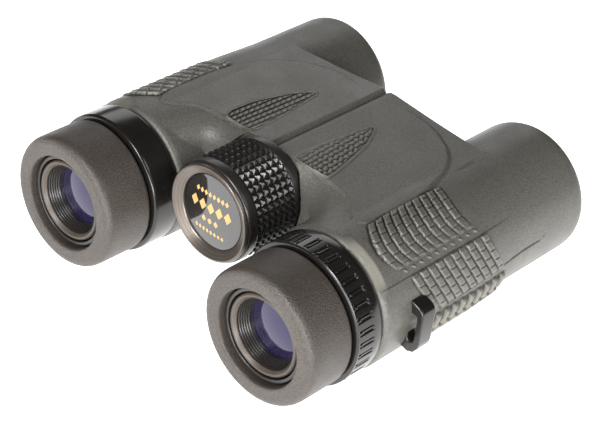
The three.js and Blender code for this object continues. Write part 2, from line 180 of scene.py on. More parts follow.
# %% Material helpers
def linear(hex_colour):
    """sRGB hex to linear rgba: the standard curve, per channel."""
    value = np.array([int(hex_colour[i:i + 2], 16) for i in (1, 3, 5)]) / 255
    light = np.where(value <= 0.04045, value / 12.92, ((value + 0.055) / 1.055) ** 2.4)
    return (*light.tolist(), 1.0)


def new_material(name):
    material = bpy.data.materials.new(name)
    material.use_nodes = True
    tree = material.node_tree
    return material, tree, tree.nodes["Principled BSDF"]


def node(tree, kind, inputs=None, **settings):
    """Adds a node, sets its settings, and fills or links its inputs."""
    made = tree.nodes.new(kind)
    for key, value in settings.items():
        setattr(made, key, value)
    for key, value in (inputs or {}).items():
        if isinstance(value, bpy.types.NodeSocket):
            tree.links.new(value, made.inputs[key])
        else:
            made.inputs[key].default_value = value
    return made


def grain(tree, size_mm, detail):
    """Noise whose grains are about size_mm across, in object space."""
    place = node(tree, "ShaderNodeTexCoord")
    return node(tree, "ShaderNodeTexNoise", {
        "Vector": place.outputs["Object"], "Scale": 1 / (size_mm * MM), "Detail": detail})


def stretch(tree, source, low, high, to_low, to_high):
    """Maps low..high of a value to to_low..to_high, and stops at the ends."""
    made = node(tree, "ShaderNodeMapRange", {
        "Value": source, "From Min": low, "From Max": high, "To Min": to_low, "To Max": to_high})
    return made.outputs["Result"]


def mixed(tree, factor, first, second):
    """A blend of two sRGB colours by a factor socket."""
    made = node(tree, "ShaderNodeMix", data_type="RGBA")
    tree.links.new(factor, made.inputs[0])
    made.inputs[6].default_value = linear(first)
    made.inputs[7].default_value = linear(second)
    return made.outputs[2]


def bump(tree, height, depth_mm):
    made = node(tree, "ShaderNodeBump", {"Height": height, "Distance": depth_mm * MM})
    return made.outputs["Normal"]


# %% [markdown]
# The armour is moulded soft rubber with a spark-eroded grain: matte, warm grey, with a broad
# highlight. A fine noise makes the pits of the grain, which are darker where they are deep, and a
# large one changes how dull the rubber is from place to place, as handling does.

# %% Rubber
RUBBER_CLOUD_MM, RUBBER_UNEVEN = 9.0, 0.05


def moulded_rubber(name, dark, light, roughness, grain_mm, grain_depth_mm):
    material, tree, shader = new_material(name)
    cloud = grain(tree, RUBBER_CLOUD_MM, 3.0).outputs["Fac"]
    pits = grain(tree, grain_mm, 1.0).outputs["Fac"]
    colour = mixed(tree, stretch(tree, pits, 0.3, 0.7, 0.0, 1.0), dark, light)
    tree.links.new(colour, shader.inputs["Base Color"])
    tree.links.new(bump(tree, pits, grain_depth_mm), shader.inputs["Normal"])
    dullness = stretch(tree, cloud, 0.3, 0.7, roughness - RUBBER_UNEVEN, roughness + RUBBER_UNEVEN)
    tree.links.new(dullness, shader.inputs["Roughness"])
    shader.inputs["IOR"].default_value = 1.5
    return material


armour_rubber = moulded_rubber("moulded_armour_rubber", "#4B4943", "#61605A", 0.4, 0.42, 0.08)
cup_rubber = moulded_rubber("grained_eyecup_rubber", "#302B27", "#4A433D", 0.46, 0.36, 0.15)

# %% [markdown]
# The edges of the moulded ribs get a painted highlight, a lighter colour, and the grooves between
# them get painted shade, a darker colour. A pointiness node could find the edges, but an exported
# model loses it. So the armour mesh carries an attribute instead, which says how far each point
# stands above its surroundings in millimetres.

# %% Painted shade in the grooves and painted highlight on the edges of the armour
# Relief in millimetres over which the painted shade of the grooves and the painted highlight of the
# edges fade in.
GROOVE_SHADE_RELIEF, EDGE_HIGHLIGHT_RELIEF = (-0.16, -0.03), (0.03, 0.2)


def paint_groove_shade_and_edge_highlight(material, groove_shade_hex, edge_highlight_hex):
    """Blends the base colour to a darker hex in the grooves, as painted shade, and to a lighter hex
    on the edges, as painted highlight, by the relief.
    """
    tree = material.node_tree
    shader = tree.nodes["Principled BSDF"]
    plain = shader.inputs["Base Color"].links[0].from_socket
    relief = node(tree, "ShaderNodeAttribute", attribute_name="relief").outputs["Fac"]
    # Painted shade: darker where the relief is low.
    groove = node(tree, "ShaderNodeMix", data_type="RGBA")
    tree.links.new(stretch(tree, relief, *GROOVE_SHADE_RELIEF, 1.0, 0.0), groove.inputs[0])
    tree.links.new(plain, groove.inputs[6])
    groove.inputs[7].default_value = linear(groove_shade_hex)
    # Painted highlight: lighter where the relief is high.
    edge = node(tree, "ShaderNodeMix", data_type="RGBA")
    tree.links.new(stretch(tree, relief, *EDGE_HIGHLIGHT_RELIEF, 0.0, 1.0), edge.inputs[0])
    tree.links.new(groove.outputs[2], edge.inputs[6])
    edge.inputs[7].default_value = linear(edge_highlight_hex)
    tree.links.new(edge.outputs[2], shader.inputs["Base Color"])


# Painted shade #2B2926 in the grooves; painted highlight #706D64 on the rib edges and on the
# crescent.
paint_groove_shade_and_edge_highlight(armour_rubber, "#2B2926", "#706D64")

# %% [markdown]
# Gloss black parts are injection-moulded ABS from a polished mould, with sharp reflections. The
# satin ones are glass-filled nylon, whose fibres break the surface up a little. A slow noise
# changes the roughness by some percent, because no moulding is equally smooth all over.

# %% Plastics
def moulded_plastic(name, dark, light, roughness, grain_mm=0.4, grain_depth_mm=0.0):
    material, tree, shader = new_material(name)
    cloud = grain(tree, 6.0, 2.0).outputs["Fac"]
    tree.links.new(mixed(tree, cloud, dark, light), shader.inputs["Base Color"])
    dullness = stretch(tree, cloud, 0.3, 0.7, roughness * 0.85, roughness * 1.15)
    tree.links.new(dullness, shader.inputs["Roughness"])
    if grain_depth_mm:
        pits = grain(tree, grain_mm, 1.0).outputs["Fac"]
        tree.links.new(bump(tree, pits, grain_depth_mm), shader.inputs["Normal"])
    shader.inputs["IOR"].default_value = 1.53
    return material


gloss_abs = moulded_plastic("gloss_black_abs", "#141210", "#1C1A18", 0.2)
satin_nylon = moulded_plastic("satin_black_nylon", "#1B1917", "#272421", 0.3, 0.35, 0.02)
chassis_nylon = moulded_plastic("glass_filled_nylon", "#2C2B29", "#383634", 0.5, 0.5, 0.02)


# %% [markdown]
# The knob's disc is clear-cast acrylic over a black print, with gold screen printing. It is the
# smoothest surface of all. Its IOR is set above that of plain acrylic, because the two faces of the
# clear layer both reflect, and one surface has to stand for both.

# %% Disc gloss
disc_gloss = moulded_plastic("clear_cast_acrylic_over_black", "#0B0A0A", "#100E0D", 0.035)
disc_gloss.node_tree.nodes["Principled BSDF"].inputs["IOR"].default_value = 2.0
gold_print = moulded_plastic("gold_screen_print", "#C39257", "#D2A268", 0.35)

# %% [markdown]
# Metal parts are turned: fine rings round the axis, left by the tool, stretch the highlight. The
# rings are a wave along y, a quarter of a millimetre apart, which is coarser than real tool marks
# but is the finest that still shows. Where the metal is painted or anodised, the shader is only
# partly metallic.

# %% Metals
TOOL_PITCH_MM, TOOL_DEPTH_MM = 0.25, 0.004


def turned_metal(name, colour, second, roughness, metallic=1.0):
    material, tree, shader = new_material(name)
    place = node(tree, "ShaderNodeTexCoord")
    rings = node(tree, "ShaderNodeTexWave", {
        "Vector": place.outputs["Object"], "Scale": 0.5 / (TOOL_PITCH_MM * MM) / np.pi,
        "Distortion": 0.4}, bands_direction="Y")
    tree.links.new(mixed(tree, rings.outputs["Fac"], colour, second), shader.inputs["Base Color"])
    tree.links.new(bump(tree, rings.outputs["Fac"], TOOL_DEPTH_MM), shader.inputs["Normal"])
    shader.inputs["Roughness"].default_value = roughness
    shader.inputs["Metallic"].default_value = metallic
    return material


anodised = turned_metal("black_anodised_aluminium", "#1A1A1B", "#232324", 0.35, 0.6)
bright_steel = turned_metal("turned_steel", "#B9B7B2", "#C6C4BF", 0.28)
bezel_metal = turned_metal("satin_bezel_aluminium", "#5C554F", "#69615A", 0.3, 0.7)
ring_metal = turned_metal("painted_lens_ring", "#48413B", "#524A43", 0.42, 0.25)


# %% [markdown]
# Lenses are glass with a thin anti-reflection coating, which leaves a weak coloured reflection. The
# objectives get their green from the shader's thin film. The violet of the eye lenses is a tint of
# the reflection, because it has to stay the same across a deep dome. A clear coat stands for the
# second face of the lens. The body is dark, because the blackened tube behind swallows the light.

# %% Glass
GLASS_IOR, COATING_IOR, REAR_FACE_IOR = 1.7, 1.38, 1.6


def coated_glass(name, body, film_nm, tint):
    material, tree, shader = new_material(name)
    shader.inputs["Base Color"].default_value = linear(body)
    shader.inputs["Roughness"].default_value = 0.03
    shader.inputs["IOR"].default_value = GLASS_IOR
    shader.inputs["Coat Weight"].default_value = 0.5
    shader.inputs["Coat IOR"].default_value = REAR_FACE_IOR
    shader.inputs["Thin Film Thickness"].default_value = film_nm
    shader.inputs["Thin Film IOR"].default_value = COATING_IOR
    shader.inputs["Specular Tint"].default_value = linear(tint)
    return material


eye_glass = coated_glass("violet_coated_glass", "#1B1730", 0.0, "#7B70B0")
objective_glass = coated_glass("green_coated_glass", "#0C1614", 420.0, "#BFE6D2")

# %% [markdown]
# The camera stands to the right of the eyepieces and above them, a little rolled, with a long lens,
# as for a catalogue picture. It is turned by three directions at right angles instead of by Euler
# angles, so that its azimuth, elevation and roll can each be read straight from the numbers.

# %% Camera
VIEW_AZIMUTH, VIEW_ELEVATION, VIEW_ROLL = 39.208, 34.694, 7.562
VIEW_DISTANCE_MM = 473.5
LENS_MM, SENSOR_MM = 108.2, 36.0
LOOK_AT = np.array([3.07, 49.17, -2.34]) + ORIGIN


def place_camera():
    azimuth, elevation, roll = np.radians([VIEW_AZIMUTH, VIEW_ELEVATION, VIEW_ROLL])
    level = np.cos(elevation)
    back = np.array([np.sin(azimuth) * level, -np.cos(azimuth) * level, np.sin(elevation)])
    right = np.cross(-back, [0, 0, 1])
    right /= np.linalg.norm(right)
    up = np.cross(right, -back)
    rolled_right = np.cos(roll) * right + np.sin(roll) * up
    rolled_up = np.cos(roll) * up - np.sin(roll) * right
    turn = Matrix([[*row] for row in np.stack([rolled_right, rolled_up, back], axis=1)])
    data = bpy.data.cameras.new("camera")
    data.lens = LENS_MM
    data.sensor_width = SENSOR_MM
    data.clip_start = 0.01
    camera = bpy.data.objects.new("camera", data)
    place = Vector((LOOK_AT + back * VIEW_DISTANCE_MM) * MM)
    camera.matrix_world = Matrix.Translation(place) @ turn.to_4x4()
    bpy.context.scene.collection.objects.link(camera)
    bpy.context.scene.camera = camera


place_camera()

# %% [markdown]
# The floor is pale paper that glows a little, so that the undersides stay readable. Six soft panels
# light the object: two low ones and two front ones draw the long highlights on the rubber and the
# gloss parts, and a high one on the right and a weak one behind on the left open the shadows.

# %% Floor and lights
LIGHTS_AIM_AT = Vector((0, 0, 20)) * MM
FLOOR_HALF, FLOOR_DROP = 3.0, 0.1 * MM


def area_light(name, place_mm, size_mm, power):
    data = bpy.data.lights.new(name, "AREA")
    data.shape = "RECTANGLE"
    data.size, data.size_y = size_mm[0] * MM, size_mm[1] * MM
    data.energy = power
    light = bpy.data.objects.new(name, data)
    place = Vector(place_mm) * MM
    light.location = place
    light.rotation_euler = (LIGHTS_AIM_AT - place).to_track_quat("-Z", "Y").to_euler()
    bpy.context.scene.collection.objects.link(light)


def floor():
    """A square just below the barrels, so that no sliver of rubber sinks into it."""
    mesh = bpy.data.meshes.new("floor")
    turns = ((-1, -1), (1, -1), (1, 1), (-1, 1))
    corners = [(x * FLOOR_HALF, y * FLOOR_HALF, -FLOOR_DROP) for x, y in turns]
    mesh.from_pydata(corners, [], [(0, 1, 2, 3)])
    piece = bpy.data.objects.new("floor", mesh)
    bpy.context.scene.collection.objects.link(piece)
    material, tree, shader = new_material("pale_paper")
    shader.inputs["Base Color"].default_value = linear("#F6F5F3")
    shader.inputs["Roughness"].default_value = 0.9
    shader.inputs["Emission Color"].default_value = (1, 1, 1, 1)
    shader.inputs["Emission Strength"].default_value = 1.35
    mesh.materials.append(material)


floor()
area_light("low_right_panel", (520, -420, 60), (400, 150), 2.9)
area_light("low_front_panel", (60, -600, 110), (300, 160), 0.9)
area_light("front_panel", (60, -590, 420), (150, 320), 4.2)
area_light("front_right_panel", (350, -550, 120), (250, 200), 1.6)
area_light("high_right_panel", (600, 100, 500), (400, 400), 1.4)
area_light("rear_left_panel", (-450, 500, 350), (500, 300), 0.8)
world = bpy.data.worlds.new("studio")
world.use_nodes = True
world.node_tree.nodes["Background"].inputs["Color"].default_value = (1, 1, 1, 1)
world.node_tree.nodes["Background"].inputs["Strength"].default_value = 0.06
bpy.context.scene.world = world
bpy.context.scene.view_settings.view_transform = "Standard"

# %% [markdown]
# The armour of one half is a single rubber moulding over the barrel and its share of the bridge. It
# could be a tube and a slab joined by a boolean, but the join would then need blending by hand.
# Seen down the barrel it is star-shaped, so one function gives its reach in every direction round
# the axis at every station along it. The outline of the bridge is a shallow curve and a few
# corners.

# %% Outline of the bridge, seen down the barrel
BODY_FRONT, BRIDGE_FRONT, BRIDGE_REAR = 24.3, 38.6, 83.6
SEAM_X = 0.12
KNUCKLE_CLEAR, KNOB_CLEAR = 7.75, 14.25
FAR = 1e3


def smooth(low, high, value):
    """0 below low, 1 above high, and the cubic 3t^2 - 2t^3 between."""
    t = np.clip((value - low) / (high - low), 0, 1)
    return t * t * (3 - 2 * t)


def reach_to_circle(psi, radius):
    """Distance from the barrel axis to the near side of a circle round the hinge, or a large
    number where the ray misses it: D cos d - sqrt(R^2 - D^2 sin^2 d)."""
    towards = np.pi - np.arctan2(HINGE_Z, AXIS_X)
    off = psi - towards
    inside = radius ** 2 - (HINGE_REACH * np.sin(off)) ** 2
    near = HINGE_REACH * np.cos(off) - np.sqrt(np.maximum(inside, 0))
    return np.where((inside > 0) & (np.cos(off) > 0), near, FAR)


def polar_table(corners):
    """Straight edges between (x, z) corners as (angle, distance) about the barrel axis, with
    twelve points on each edge."""
    corners = np.asarray(corners, float)
    t = np.linspace(0, 1, 12, endpoint=False)[:, None, None]
    edge = corners[None, :-1] * (1 - t) + corners[None, 1:] * t
    edge = np.vstack([edge.transpose(1, 0, 2).reshape(-1, 2), corners[-1:]])
    x, z = edge[:, 0] - AXIS_X, edge[:, 1]
    return np.arctan2(z, x) % (2 * np.pi), np.hypot(x, z)


TOP_X = np.linspace(AXIS_X, 1.3, 24)
TOP_Z = 21.22 - 2.9 * TOP_X / AXIS_X + 0.75 * (TOP_X / AXIS_X) ** 2
SEAM_EDGE = [(0.95, 20.85), (0.35, 20.6), (SEAM_X, 20.3), (SEAM_X, 17.7), (3.5, 15.94)]
UNDERSIDE = [(4, 1.05), (10, 0.5), (13, -0.6), (15, -2.5), (17.5, -6.5)]
TOP_TABLE = polar_table([*zip(TOP_X, TOP_Z), *SEAM_EDGE])
UNDER_TABLE = polar_table(UNDERSIDE)
HOLLOW_LIMIT = 40.0


def bridge_reach(psi):
    """Distance from the barrel axis to the bridge's top and seam, knuckle hollow and underside."""
    top = np.interp(psi, *TOP_TABLE, left=0, right=0)
    under = np.interp(psi, *UNDER_TABLE, left=0, right=0)
    hollow = reach_to_circle(psi, KNUCKLE_CLEAR)
    in_hollow = (psi > TOP_TABLE[0][-1]) & (psi < UNDER_TABLE[0][0])
    return np.where(in_hollow, np.minimum(hollow, HOLLOW_LIMIT), np.maximum(top, under))


# %% [markdown]
# The grips are cut into the mould as bricks, ribs and dots. A displacement texture could show them,
# but they are heights in millimetres added to the reach, so that they are real geometry in the
# mesh. Outlined areas, such as the raised panel and the thumb pads, use the distance inside a
# polygon, so that an edge is a step of any softness. Bricks and ribs repeat by the fraction of a
# phase.

# %% Pattern helpers
def inside_distance(x, y, outline):
    """Distance to the nearest edge of a polygon: positive inside, negative outside."""
    outline = np.asarray(outline, float)
    best = np.full(x.shape, np.inf)
    inside = np.zeros(x.shape, bool)
    for (ax, ay), (bx, by) in zip(outline, np.roll(outline, -1, axis=0)):
        dx, dy = bx - ax, by - ay
        t = np.clip(((x - ax) * dx + (y - ay) * dy) / (dx ** 2 + dy ** 2), 0, 1)
        best = np.minimum(best, np.hypot(x - ax - t * dx, y - ay - t * dy))
        inside ^= ((ay > y) != (by > y)) & (x < ax + (y - ay) * dx / (dy + 1e-12))
    return np.where(inside, best, -best)


def in_groove(phase, pitch, width, soft):
    """1 on the land of a repeat and 0 in its groove; the groove is centred on whole phases."""
    away = np.abs(phase - np.round(phase)) * pitch
    return smooth(width / 2, width / 2 + soft, away)


def arc(angle_deg, radius):
    """The length of an arc in millimetres."""
    return angle_deg * np.pi / 180 * radius


RIB_PITCH, RIB_FIRST, BRICK_LENGTH = 2.96, 31.35, 2.9
UNDER_PITCH, UNDER_FIRST = 3.25, 45.2
CREASE, DOT_ANGLES = 35.5, (45.6, 40.9)


def rib_sweep(psi_deg, y):
    """How far a rib is carried back at each angle: squares either side of 61 degrees above the
    crease, and a power of 1.39 below it."""
    above = (0.0078 - 0.00016 * np.clip(y - 30, 0, 30)) * np.clip(psi_deg - 61, 0, None) ** 2
    middle = 0.0085 * (61 - np.clip(psi_deg, CREASE, 61)) ** 2
    below = 0.0442 * np.clip(CREASE - psi_deg, 0, None) ** 1.39
    return above + middle + below


def side_grip(psi_deg, y):
    """Height of the side grips: curved ribs that lean forward, with a groove between ribs and finer
    cross cuts, offset by half from rib to rib, and two rows of dots where the upper ribs end."""
    station = (y - rib_sweep(psi_deg, y) - RIB_FIRST) / RIB_PITCH
    row = np.floor(station + 0.5)
    across = station + 0.5 - row
    along = arc(psi_deg, 19.6) / BRICK_LENGTH + 0.5 * (row % 2)
    rib = in_groove(station + 0.5, RIB_PITCH, 0.22, 0.35)
    cut = 1 - 0.5 * (1 - in_groove(along, BRICK_LENGTH, 0.1, 0.25))
    lip = 1 - smooth(0.25, 0.65, across * RIB_PITCH)
    lean = 0.52 + 0.3 * (1 - across) + 0.4 * lip
    in_rows = smooth(-0.53, -0.48, station) * (1 - smooth(9.48, 9.53, station))
    upper = smooth(43.0, 46.0, psi_deg) * (1 - smooth(83.4, 84.6, psi_deg))
    upper = upper * (0.3 + 0.6 * smooth(42, 70, psi_deg))
    low_end = np.where(row < 0.5, 9.0, -2.6 + 0.3 * np.clip(row - 1, 0, 9))
    lower = smooth(low_end - 0.7, low_end + 0.7, psi_deg) * (1 - smooth(34.4, 35.4, psi_deg)) * 0.62
    dot_y = (across - 0.5) * RIB_PITCH
    dots = [1 - smooth(0.25, 0.55, np.hypot(arc(psi_deg - at, 19.3), dot_y)) for at in DOT_ANGLES]
    return in_rows * np.maximum((upper + lower) * rib * cut * lean, 0.32 * np.maximum(*dots))


def under_grip(psi_deg, y):
    """The third band, round the underside: short stout ribs with round tops, split in two."""
    station = (y - UNDER_FIRST) / UNDER_PITCH
    away = np.abs(station - np.round(station)) * UNDER_PITCH
    rib = np.sqrt(np.clip(1 - (away / 1.0) ** 2, 0, 1))
    edge = smooth(-0.4, -0.3, station) * (1 - smooth(8.3, 8.4, station))
    edge = edge * smooth(-39.0, -37.0, psi_deg) * (1 - smooth(-9.0, -6.5, psi_deg))
    split = in_groove((psi_deg + 23) / 33, 11.3, 0.5, 0.5)
    return 1.15 * edge * rib * split


PANEL = [(0.0, 76.5), (7.4, 79.5), (12, 80.4), (17.5, 80.2), (22.2, 78.8), (27.0, 76.2),
         (30.5, 73), (33, 69), (34.6, 65), (36.4, 58), (37.2, 52), (37.4, 45), (37.0, 38.5),
         (36.2, 34.0), (34.8, 32.2), (33.2, 32.3), (31.5, 33.8), (29.2, 36.2), (25.8, 38.2),
         (20.3, 39.3), (14, 38.8), (7, 38.2), (0, 38.2), (-3, 55)]
RIGHT_PAD = [(7.2, 38.9), (6.6, 41.7), (7.1, 48.6), (7.9, 55.3), (8.5, 62.4), (9.2, 66.3),
             (10.5, 67.2), (12.3, 64.4), (14.7, 59.4), (15.9, 55), (17.3, 48.9), (18.4, 43.2),
             (18.7, 39.9), (15.8, 39.3), (11.7, 39.0)]
LEFT_PAD = [(17.9, 39.3), (19, 40.7), (19.7, 43), (19.3, 50), (17.7, 55.9), (15.8, 61.6),
            (13.1, 66.4), (11.5, 67.4), (10.4, 66.2), (9.5, 58.7), (8.5, 50.1), (8.1, 44.1),
            (7.7, 39.4), (12.1, 38.9)]


def thumb_pad(x, y, side):
    """Height of a thumb pad: a thin raised rim round short strokes (left) or zigzags (right)."""
    if side > 0:
        inside = inside_distance(x, y, RIGHT_PAD)
        zigzag = 0.9 * np.abs((y / 2.9) % 1 - 0.5)
        column = (x + 0.05 * (y - 52) + zigzag) / 1.5
        cut = (y + 0.5 * x) / 2.0 + 0.5 * (np.floor(column + 0.5) % 2)
    else:
        inside = inside_distance(x, y, LEFT_PAD)
        column = (x + 0.04 * (y - 52)) / 1.75
        cut = (y - 0.9 * x) / 2.1 + 0.5 * (np.floor(column + 0.5) % 2)
    parted = 0.35 + 0.65 * in_groove(cut + 0.5, 2.0, 0.2, 0.35)
    stroke = in_groove(column + 0.5, 1.6, 0.22, 0.32) * parted
    rim = smooth(0.0, 0.2, inside) * (1 - smooth(0.45, 0.65, inside))
    field = smooth(0.7, 1.0, inside)
    return 0.38 * rim + 0.55 * field * stroke - 0.2 * smooth(0.45, 0.75, inside)


# %% [markdown]
# The columns are close together where there is a pattern and wide apart where the rubber is plain,
# and so are the rows. That keeps the piece well under the triangle limit without losing a brick.

# %% Stations for the armour
def spread(*stretches):
    """Joins evenly spaced stretches, each (from, to, step), into one rising list."""
    return np.concatenate([
        np.linspace(a, b, max(2, int(round((b - a) / step)) + 1))[:-1] for a, b, step in stretches])


ARMOUR_PSI = np.radians(spread(
    (-90, -44, 2.2), (-44, 86, 0.7), (86, 127, 1.3), (127, 146, 0.31), (146, 148, 0.5),
    (148, 150.2, 0.36), (150.2, 153.12, 0.9), (153.12, 155.0, 0.3), (155.0, 178.1, 1.9),
    (178.1, 202, 1.3), (202, 270, 2.4)))
ARMOUR_Y = np.concatenate([
    spread((24.5, 31, 0.4), (31, 72, 0.31), (72, 79, 0.45), (79, 82, 0.35), (82, 83.1, 0.2)),
    [83.3, 83.5, BRIDGE_REAR, BRIDGE_REAR, 83.9], spread((84.4, 104.4, 1.0)), [104.5, 105.0]])
print("armour grid:", len(ARMOUR_Y), "rows,", len(ARMOUR_PSI), "columns")


# %% [markdown]
# The reach is put together in the order in which a toolmaker would cut the mould: the plain barrel,
# the bridge and its front shoulder, the clearance round the knob, then the raised panel, grips,
# crease and groove. The front shoulder slopes from a ridge beside the knob up to the panel's crest.

# %% Reach of the armour
BARREL_RADIUS = 19.3
BARREL_PROFILE = ([BODY_FRONT, 24.9, 25.7, 62, 80, 104.2, 105.6],
                  [18.5, 19.05, BARREL_RADIUS, BARREL_RADIUS, 18.6, 18.6, 18.1])
SLOPE_SPAN, SLOPE_BEND = 36, 1.3
SLOPE_X = np.array([0, 7.4, 13.3, 18.9, 24.1, 28.5, 33.9, SLOPE_SPAN]) / SLOPE_SPAN
CREST_CURVE = np.polyfit(SLOPE_X, [38.6, 38.6, 39.2, 39.7, 38.8, 36.8, 31.4, 30.5], 4)
FOOT_CURVE = np.polyfit(SLOPE_X, [34.0, 33.8, 31.2, 28.8, 27.2, 25.5, 24.5, 24.4], 3)


def plain_reach(psi, y):
    """The barrel, the bridge with its front slope, the hollow for the knob, and the soft rear edge.
    The slope rises from its foot to its crest as a power of the way between them."""
    barrel = np.interp(y, *BARREL_PROFILE)
    around = psi % (2 * np.pi)
    bridge = np.maximum(bridge_reach(around), barrel)
    across = np.clip(AXIS_X + bridge * np.cos(psi), 0, SLOPE_SPAN) / SLOPE_SPAN
    crest, foot = np.polyval(CREST_CURVE, across), np.polyval(FOOT_CURVE, across)
    t = np.clip((y - foot) / (crest - foot), 0, 1)
    rise = np.where(y < BRIDGE_FRONT + 1.4, t ** SLOPE_BEND, 1.0)
    reach = barrel + (bridge - barrel) * rise * (y < BRIDGE_REAR + 0.001)
    near_knob = reach_to_circle(around, KNOB_CLEAR)
    reach = np.where(y < BRIDGE_FRONT, np.minimum(reach, near_knob), reach)
    end = smooth(BRIDGE_REAR - 1.1, BRIDGE_REAR + 0.05, y) * (y <= BRIDGE_REAR)
    return reach - 0.9 * end ** 2 * smooth(0.3, 1.5, bridge - barrel)


PLATE_TOP, PLATE_HIGH, CRESCENT_DEEP, GROOVE_LOW, DOT_HIGH = 36, 0.3, 1.75, 0.35, 0.3


def barrel_details(psi_deg, y):
    """Heights on the barrel: a crescent cut into its front lip, a plate that ends at the crease
    above the lower grip, and the groove along the side with a dot behind it. With them comes a mask
    of the rear of the crescent, where a highlight is painted."""
    crescent = smooth(28, 52, psi_deg) * (1 - smooth(66, 90, psi_deg))
    cut = crescent * np.clip((27.2 - y) / 2.7, 0, 1)
    # Painted highlight on the rear of the crescent's chamfer, carried to the colour by the relief.
    crescent_highlight = crescent * smooth(27.5, 27.0, y)
    plate = smooth(-2, 4, psi_deg) * (1 - smooth(PLATE_TOP - 0.4, PLATE_TOP + 0.4, psi_deg))
    plate = plate * (1 - smooth(66, 78, y)) * smooth(BODY_FRONT, 26, y)
    groove_psi = np.interp(y, [45.5, 53, 61, 69, 77, 88], [-4, -2, -1, -0.4, 1.6, 2.3])
    off = arc(psi_deg - groove_psi, BARREL_RADIUS - 0.3)
    groove = 1 - smooth(0.12, 0.5, np.abs(off))
    groove = groove * smooth(44.5, 46, y) * (1 - smooth(86.5, 87.5, y))
    dot = 1 - smooth(0.3, 0.8, np.hypot(off, y - 88.6))
    height = PLATE_HIGH * plate - CRESCENT_DEEP * cut - GROOVE_LOW * groove + DOT_HIGH * dot
    return height, crescent_highlight


def armour_reach(psi, y, side):
    """Distance of the armour from the barrel axis for a grid of angles and stations, with the
    height of its fine patterns and the mask of the painted highlight on its crescent."""
    psi_deg = np.degrees(psi)
    reach = plain_reach(psi, y)
    x = AXIS_X + reach * np.cos(psi)
    on_top = smooth(0.5, 0.7, np.sin(psi)) * (psi_deg < 150.5)
    on_side = (psi_deg > -50) & (psi_deg < 88)
    edge = inside_distance(x, y, PANEL)
    raised = 0.5 * on_top * smooth(-0.3, 0.45, edge)
    fine = on_top * thumb_pad(x, y, side) * (edge > 0)
    fine = fine + on_side * (side_grip(psi_deg, y) + under_grip(psi_deg, y))
    details, crescent_highlight = barrel_details(psi_deg, y)
    return reach + raised + fine + details, fine, crescent_highlight


def blurred(values):
    """The mean over seven rows and seven columns of a grid, by rolled copies each way."""
    for axis in (0, 1):
        values = np.mean([np.roll(values, shift, axis) for shift in range(-3, 4)], axis=0)
    return values


def second_of_pair(stations):
    """0.01 mm at the second of two equal stations and 0 elsewhere. Read there, the reach is already
    past the bridge, so the two rows stand as a flat wall."""
    return np.where(np.arange(len(stations)) == np.argmax(np.diff(stations) == 0) + 1, 0.01, 0.0)


ARMOUR_INSIDE = [(15.5, LENGTH), (15.2, LENGTH - 0.3), (15.2, LENGTH - 2), (17.05, LENGTH - 2),
                 (17.05, 82.0), (17.5, 60.0), (17.5, 24.5), (17.8, BODY_FRONT)]
REAR_RIM = [(-0.25, LENGTH - 0.05), (-0.75, LENGTH)]


def armour(name, side):
    """Outer rows from front to rear, then back along the inside of the wall, closed both ways.
    The attribute relief holds how far each point stands above the mean round it, in millimetres,
    raised by up to 0.3 on the crescent, where a highlight is painted."""
    p, y = np.meshgrid(ARMOUR_PSI, ARMOUR_Y, indexing="xy")
    outer, fine, crescent_highlight = armour_reach(p, y + second_of_pair(ARMOUR_Y)[:, None], side)
    front, *_ = armour_reach(ARMOUR_PSI[None, :], np.full((1, 1), BODY_FRONT + 0.1), side)
    first = np.minimum(front, BARREL_RADIUS) - 0.35
    rim = [outer[-1:] + inward for inward, _ in REAR_RIM]
    inside = [np.full_like(first, r) for r, _ in ARMOUR_INSIDE]
    radius = np.vstack([first, outer, *rim, *inside])
    behind = [station for _, station in REAR_RIM + ARMOUR_INSIDE]
    stations = np.concatenate([[BODY_FRONT], ARMOUR_Y, behind])
    x = side * (AXIS_X + radius * np.cos(ARMOUR_PSI))
    z = radius * np.sin(ARMOUR_PSI)
    yy = np.broadcast_to(stations[:, None], x.shape)
    points = np.stack([x, yy, z], axis=-1).reshape(-1, 3)
    piece = mesh_object(name, points, grid_faces(*x.shape, True, True), smooth_angle=40)
    relief = np.zeros(radius.shape)
    # The crescent's painted highlight is added to the relief here.
    relief[1:1 + len(ARMOUR_Y)] = fine - blurred(fine) + 0.3 * crescent_highlight
    layer = piece.data.attributes.new("relief", "FLOAT", "POINT")
    layer.data.foreach_set("value", np.clip(relief, -0.5, 0.5).ravel().astype(np.float32))
    return piece


# %% [markdown]
# Each finished piece is handed to the frame in one call: the body that it rides on, a slot name,
# its material, and the nodes that it stands for.

# %% Handing a piece over
def hand_over(piece, body, slot, material, *nodes):
    piece.data.materials.clear()
    piece.data.materials.append(material)
    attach(piece, body)
    if nodes:
        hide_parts(*nodes)
    print(f"{piece.name}: {len(piece.data.polygons)} faces on {body}")


SIDES = (("left", -1), ("right", 1))
for word, side in SIDES:
    hand_over(armour(f"{word}_rubber_armour", side), f"{word}_half", "armour_rubber", armour_rubber,
              f"{word}_armour")

# %% [markdown]
# The eyecups are turned shapes in soft rubber: a flat face with a well rounded outer edge, a plain
# side, and an undercut mouth round the eyepiece tube. A bevelled cylinder would be as quick, but a
# turned profile also gives the inside of the wall, which shows when the cup is raised.

# %% Eyecups
CUP_PROFILE = [(12.75, 0.75), (13.0, 0.15), (13.6, 0.0), (16.2, 0.0), (17.35, 0.5), (17.9, 1.5),
               (18.0, 3.0), (18.0, 13.6), (17.6, 14.3), (16.2, 14.3), (16.2, 4.0), (12.75, 3.9)]
for word, side in SIDES:
    cup = turned_ring(f"{word}_rubber_eyecup", CUP_PROFILE, (side * AXIS_X, 0), 0.5, 160, 5)
    hand_over(cup, f"{word}_cup", "cup_rubber", cup_rubber, f"{word}_eyecup")

